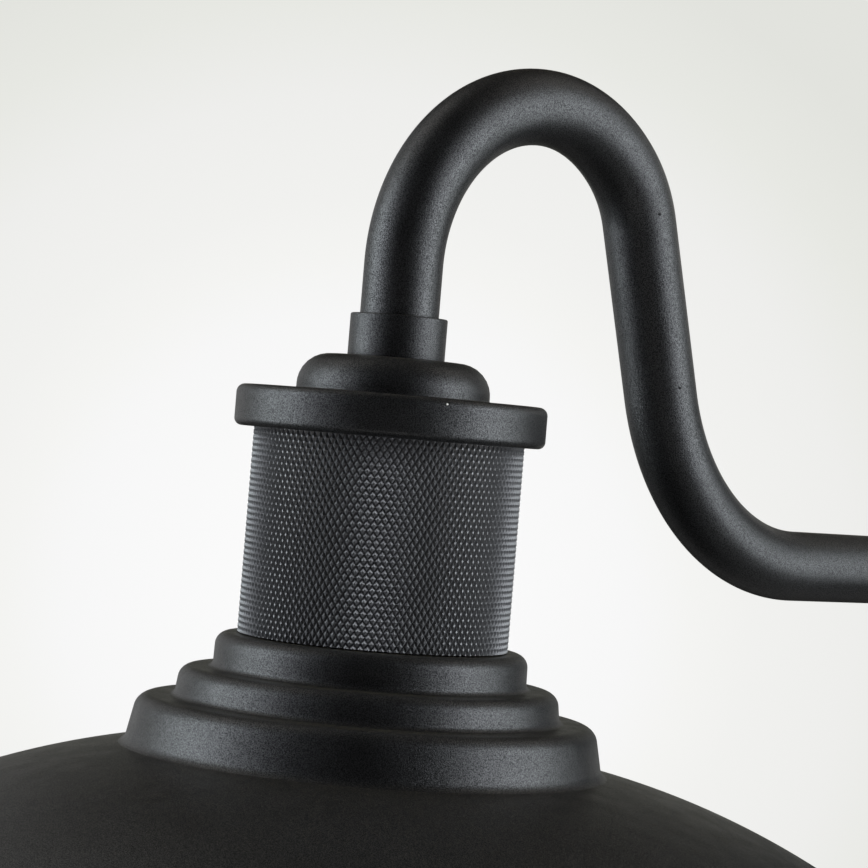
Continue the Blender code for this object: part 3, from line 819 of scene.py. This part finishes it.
def lampholder():
    """The porcelain lampholder with its rolled brass shell, and the pipe and nut above it."""
    body = [
        (18.0, 4.3),
        (18.0, -38, 0.8),
        (20.0, -40, 0.8),
        (20.0, -71, 1.2),
        (17.4, -71, 0.9),
        (17.0, -65, 1.0),
        (14.6, -61, 1.0),
        (14.6, -30),
        (2.0, -30),
        (2.0, -22),
        (12.0, -22),
        (12.0, 4.3),
    ]
    made = turned("porcelain_socket", body, PORCELAIN, 96, parts=5)
    stands_for(made, "porcelain", "lampholder_body")
    outside = [Vector((14.1, -30.4 - 25.6 * k / 50)) for k in range(51)]
    inside = [Vector((13.6, -56 + 25.1 * k / 50)) for k in range(51)]
    bm = lathe(outside + inside + [Vector((7.0, -30.9)), Vector((7.0, -30.4))], 96)
    thread(bm, (0, 0), 13.6, -0.3, LAMP_PITCH, -57.8, -30.5)
    made = new_mesh("threaded_shell", bm, [BRASS], place=HEAD_PLACE)
    stands_for(made, "brass", "screw_shell")
    threaded("head_pipe", "head_nipple", PIPE_R, 3.5, 32, PIPE_BORE, PIPE_PITCH)
    hexagon_nut("head_nut", "head_lock_nut", 8.3, 12.3, HEAD_PLACE)


def shade_nut():
    """The ring that screws up under the shade: its skirt carries eight grip lugs."""
    seat = dome_point(SEAT_SLOPE, DOME_START, DOME_SLOPE, DOME_R).y - SHADE_SHEET - 0.5
    corners = [(28.5, seat, 0.6), (28.5, -70.5, 1.4), (20.5, -70.5, 0.5), (20.5, seat, 0.3)]
    bm = lathe(refined(rounded(corners, 5), 0.8), 192)
    for vert in bm.verts:
        x, y, z = vert.co / MM
        r = hypot(x, y)
        if r > 26.0:
            lug = max(0.0, cos(8 * atan2(y, x))) ** 0.4
            scale = 1 - (1 - lug) * 1.3 * (r - 26.0) / 2.5 / r
            vert.co.x, vert.co.y = x * scale * MM, y * scale * MM
    made = new_mesh("shade_nut", bm, [PORCELAIN], place=HEAD_PLACE)
    stands_for(made, "porcelain", "shade_ring")


# ---------------------------------------------------------------- bulb

GLOBE_R = size_mm("bulb_glass")[1].x
GLOBE_Z = size_mm("bulb_glass")[0].z - HEAD.z + GLOBE_R
CAP_FOOT = size_mm("bulb_cap")[0].z - HEAD.z
FILAMENT_TWIST = 35  # degrees from the upper star to the lower one


def rod(bm, start, end, radius, sides):
    """Add a straight round rod to a bmesh, mm."""
    run = end - start
    place = Matrix.Translation((start + end) / 2 * MM) @ run.to_track_quat("Z", "Y").to_matrix().to_4x4()
    bmesh.ops.create_cone(
        bm,
        cap_ends=True,
        segments=sides,
        radius1=radius * MM,
        radius2=radius * MM,
        depth=run.length * MM,
        matrix=place,
    )


def bulb_cap():
    """The plated screw cap, its thread rolled into thin metal."""
    top = size_mm("bulb_cap")[1].z - HEAD.z
    side = [Vector((13.1, top - 2.7 + (CAP_FOOT - top + 2.7) * k / 60)) for k in range(61)]
    outline = [Vector((9.6, top)), Vector((11.6, top - 1.0))] + side
    outline += [Vector((12.5, CAP_FOOT)), Vector((12.5, top - 3.0)), Vector((9.4, top - 0.4))]
    bm = lathe(outline, 96)
    thread(bm, (0, 0), 13.1, 0.75, LAMP_PITCH, CAP_FOOT + 3.5, top - 2.0)
    for vert in bm.verts:
        r = hypot(vert.co.x, vert.co.y) / MM
        if 12.4 < r < 12.6:
            vert.co.x, vert.co.y = vert.co.x * 12.2 / r, vert.co.y * 12.2 / r
    made = new_mesh("cap_thread", bm, [NICKEL], "bulb", place=HEAD_PLACE)
    stands_for(made, "nickel_plate", "bulb_cap")


def globe():
    """The round envelope and its neck, as an outer and an inner skin of glass."""
    side_angle = 42.0
    ball = arc((0, GLOBE_Z), GLOBE_R, side_angle, -90, 60)
    start, join = Vector((13.2, CAP_FOOT - GAP)), ball[0]
    pull = (start - join).length * 0.45
    lean = Vector((sin(radians(side_angle)), -cos(radians(side_angle)))) * pull
    down = Vector((0, -1)) * pull
    neck = []
    for k in range(24):
        t = k / 24
        a, b = start * (1 - t) ** 3, (start + down) * 3 * t * (1 - t) ** 2
        neck.append(a + b + (join - lean) * 3 * t**2 * (1 - t) + join * t**3)
    ball[-1] = Vector((0, GLOBE_Z - GLOBE_R))
    outer = neck + ball
    inner = sheet_outline(outer, GLASS_WALL)[: len(outer) - 1 : -1]
    inner[-1] = Vector((0, GLOBE_Z - GLOBE_R + GLASS_WALL))
    made = new_mesh("glass_envelope", lathe(outer, 128, closed=False), [GLASS], "bulb", place=HEAD_PLACE)
    stands_for(made, "bulb_glass", "bulb_glass")
    made = new_mesh("glass_inside", lathe(inner, 128, closed=False), [GLASS], "bulb", place=HEAD_PLACE)
    made.data.flip_normals()


def glass_stem():
    """The flared glass stem that carries the filaments. Gives the height of its foot."""
    low, high = (corner.z - HEAD.z for corner in size_mm("bulb_stem"))
    flare = ((11.6, high), (9.6, high - 3), (6.0, high - 8), (3.6, high - 13), (2.6, low + 2))
    flare = smooth_path([Vector(p) for p in flare], 6)
    outline = [Vector((0, high))] + flare + arc((0, low + 2), 2.6, 0, -90, 6)[1:]
    outline[-1].x = 0
    made = new_mesh("stem_press", lathe(outline, 64, closed=False), [GLASS], "bulb", place=HEAD_PLACE)
    stands_for(made, "bulb_glass", "bulb_stem")
    return low


def rod_width(along):
    """Radius of a filament rod, drawn in at both ends."""
    return 0.9 * min(1.0, 0.35 + 8 * min(along, 1 - along))


def filaments(stem_foot):
    """Four rods held between two stars of wire, the lower one turned a little from the upper."""
    level = {}
    for word, twist in (("upper", 0), ("lower", FILAMENT_TWIST)):
        low, high = size_mm(f"filament_hub_{word}")
        level[word] = (low.z + high.z) / 2 - HEAD.z
        middle = Vector((0, 0, level[word]))
        bm = bmesh.new()
        for k in range(4):
            turn = radians(45 + 90 * k + twist)
            rod(bm, middle, Vector((6.0 * cos(turn), 6.0 * sin(turn), middle.z)), 0.3, 10)
        rod(bm, middle - Vector((0, 0, 0.3)), middle + Vector((0, 0, 0.3)), 1.2, 20)
        made = new_mesh(f"support_star_{word}", bm, [ZINC], "bulb", place=HEAD_PLACE)
        stands_for(made, "zinc_plated_steel", f"filament_hub_{word}")
    bm = bmesh.new()
    rod(bm, Vector((0, 0, stem_foot + 1)), Vector((0, 0, level["lower"])), 0.35, 10)
    made = new_mesh("support_wire", bm, [ZINC], "bulb", place=HEAD_PLACE)
    for k in range(4):
        angle = radians(45 + 90 * k)
        foot = angle + radians(FILAMENT_TWIST)
        top = Vector((4.6 * cos(angle), 4.6 * sin(angle), level["upper"] - 1.6))
        end = Vector((4.6 * cos(foot), 4.6 * sin(foot), level["lower"] + 1.0))
        points = [top.lerp(end, t / 24) for t in range(25)]
        made = sweep(f"filament_rod_{k + 1}", points, rod_width, PHOSPHOR, 16, HEAD_PLACE, "bulb")
        stands_for(made, "phosphor", f"filament_{k + 1}")


# ---------------------------------------------------------------- small marks in the coat

BLEMISHES = (
    # name, place in the head frame in mm, radius in mm, pale
    ("coat_pit_upper", (7.85, 65.6, 52.7), 0.42, False),
    ("coat_pit_lower", (7.8, 76.6, 16.0), 0.36, False),
    ("dust_fleck", (29.1, -12.05, 7.6), 0.26, True),
)


def blemishes():
    """Two pin holes in the arm's coat, drawn as near-black blobs of painted shade, and a fleck of dust on the
    lid's rim.
    """
    for name, at, radius, pale in BLEMISHES:
        bm = bmesh.new()
        bmesh.ops.create_icosphere(bm, subdivisions=2, radius=radius * MM)
        for vert in bm.verts:
            vert.co *= 1 + 0.25 * noise.noise(vert.co / MM * 2.3)
        bmesh.ops.scale(bm, verts=bm.verts, vec=(0.35, 1.2, 0.8))
        bmesh.ops.translate(bm, verts=bm.verts, vec=Vector(at) * MM)
        made = new_mesh(name, bm, [FLUFF if pale else PIN_HOLE_PAINTED_SHADE], place=HEAD_PLACE)


arm()
blemishes()
arm_fittings()
lid()
knurl()
collar()
shade()
wall_end()
connectors()
lampholder()
shade_nut()
bulb_cap()
globe()
filaments(glass_stem())

# Inner pieces that keep their frame shape take the finish of their slot
FINISHES = {
    "zinc_plated_steel": ZINC,
    "black_powder_coat": COAT,
    "brass": BRASS,
    "porcelain": PORCELAIN,
    "foam_rubber": FOAM,
    "bulb_glass": GLASS,
    "nickel_plate": NICKEL,
    "phosphor": PHOSPHOR,
    "black_insulation": BLACK_PVC,
    "white_insulation": WHITE_PVC,
    "green_insulation": GREEN_PVC,
    "green_steel": GREEN_ZINC,
    "connector_plastic": ORANGE,
    "vitrite": VITRITE,
    "knurled_coat": KNURL_COAT_PAINTED_PALER,
}
slots = {part["node"]: part["material_slot"] for part in frame["record"]["subparts"]}
for name, obj in frame["nodes"].items():
    if not obj.hide_render:
        obj.data.materials.clear()
        obj.data.materials.append(FINISHES[slots[name]])


# ---------------------------------------------------------------- room, light and camera

# Where the camera stands: degrees, and mm from the head
VIEW_AZIMUTH = 47.128
VIEW_TILT = 0.118
VIEW_ROLL = 4.736
CAMERA_FROM_HEAD = Vector((450.08, -405.64, 2.91))
LENS = 124.35

camera = bpy.data.objects.new("camera", bpy.data.cameras.new("camera"))
bpy.context.scene.collection.objects.link(camera)
camera.data.sensor_width = 36.0
camera.data.lens = LENS
camera.data.clip_start = 0.01
camera.data.clip_end = 50
aim = Matrix.Rotation(radians(VIEW_AZIMUTH), 4, "Z") @ Matrix.Rotation(radians(90 - VIEW_TILT), 4, "X")
place = Matrix.Translation((HEAD + CAMERA_FROM_HEAD) * MM)
camera.matrix_world = place @ aim @ Matrix.Rotation(radians(VIEW_ROLL), 4, "Z")
bpy.context.scene.camera = camera


def softbox(name, azimuth, elevation, distance, width, height, power, colour):
    """An area light aimed at the head. Its azimuth is counted from the camera's side, to the right."""
    light = bpy.data.lights.new(name, "AREA")
    light.shape = "RECTANGLE"
    light.size = width
    light.size_y = height
    light.energy = power
    light.color = linear(colour)[:3]
    obj = bpy.data.objects.new(name, light)
    around = radians(VIEW_AZIMUTH - 90 + azimuth)
    level = cos(radians(elevation))
    offset = Vector((cos(around) * level, sin(around) * level, sin(radians(elevation)))) * distance
    centre = HEAD * MM + Vector((0, 0.03, 0))
    facing = offset.to_track_quat("Z", "Y").to_matrix().to_4x4()
    obj.matrix_world = Matrix.Translation(centre + offset) @ facing
    obj.visible_camera = False
    bpy.context.scene.collection.objects.link(obj)


BACKDROP_GLOW = (-0.747, 0.662, -0.059)  # way to the brightest part of the backdrop
BACKDROP_TONES = (
    (0.12, "e2e3de"),
    (0.33, "e7e8e3"),
    (0.53, "eeeeec"),
    (0.7, "f1f1ef"),
    (0.78, "f4f4f2"),
    (0.85, "f7f7f7"),
    (0.93, "f9f9f9"),
    (1.0, "fbfbfb"),
)


def backdrop():
    """A pale seamless backdrop, brightest low behind the lamp, that hardly lights the lamp itself."""
    world = bpy.data.worlds.new("studio")
    bpy.context.scene.world = world
    world.use_nodes = True
    tree = world.node_tree
    tree.nodes.clear()
    way = node(tree, "ShaderNodeTexCoord")
    fall = node(
        tree, "ShaderNodeVectorMath", {0: (way, "Generated"), 1: BACKDROP_GLOW}, operation="DOT_PRODUCT"
    )
    place = node(tree, "ShaderNodeMapRange", {"Value": (fall, "Value"), "From Min": 0.97, "From Max": 1.0})
    tone = node(tree, "ShaderNodeValToRGB", {"Fac": (place, "Result")})
    ramp = tone.color_ramp
    for position, colour in BACKDROP_TONES[1:-1]:
        ramp.elements.new(position)
    for element, (position, colour) in zip(ramp.elements, BACKDROP_TONES):
        element.position = position
        element.color = linear(colour)
    seen = node(tree, "ShaderNodeBackground", {"Color": (tone, "Color"), "Strength": 1.0})
    lit = node(tree, "ShaderNodeBackground", {"Color": linear("fff2e0"), "Strength": 0.012})
    ray = node(tree, "ShaderNodeLightPath")
    mix = node(
        tree,
        "ShaderNodeMixShader",
        {0: (ray, "Is Camera Ray"), 1: (lit, "Background"), 2: (seen, "Background")},
    )
    node(tree, "ShaderNodeOutputWorld", {"Surface": (mix, "Shader")})


LIGHTS = (
    # name, azimuth, elevation, distance, width, height, power, colour
    ("right_window", 70, 8, 1.6, 0.62, 1.7, 19.0, "f2f7ff"),
    ("right_softbox", 92, 8, 1.6, 0.62, 1.7, 13.8, "f3fbff"),
    ("left_window", -70, 8, 1.6, 0.62, 1.7, 8.2, "f0f3ff"),
    ("left_softbox", -92, 8, 1.6, 0.62, 1.7, 20.5, "f0faff"),
    ("left_edge", -115, 8, 1.6, 0.7, 1.4, 1.1, "ffffff"),
    ("right_back", 145, 4, 1.6, 0.9, 1.1, 1.9, "fffefa"),
    ("left_back", -145, 4, 1.6, 0.9, 1.1, 1.6, "ffffff"),
    ("back_wall", 180, 2, 1.6, 0.9, 0.8, 0.7, "fdfff4"),
    ("table_bounce", 0, -40, 1.6, 1.2, 0.8, 2.2, "ffffff"),
    ("floor_bounce", 0, -88, 1.3, 4.0, 4.0, 9.0, "ffffff"),
    ("top_back", 180, 62, 1.6, 1.2, 0.8, 0.15, "fffcf8"),
    ("top_left", -115, 50, 1.6, 0.9, 0.9, 2.6, "fffcf8"),
    ("top_right", 115, 50, 1.6, 0.9, 0.9, 1.9, "fff8f0"),
)
bpy.context.scene.view_settings.view_transform = "Standard"
backdrop()
for light in LIGHTS:
    softbox(*light)
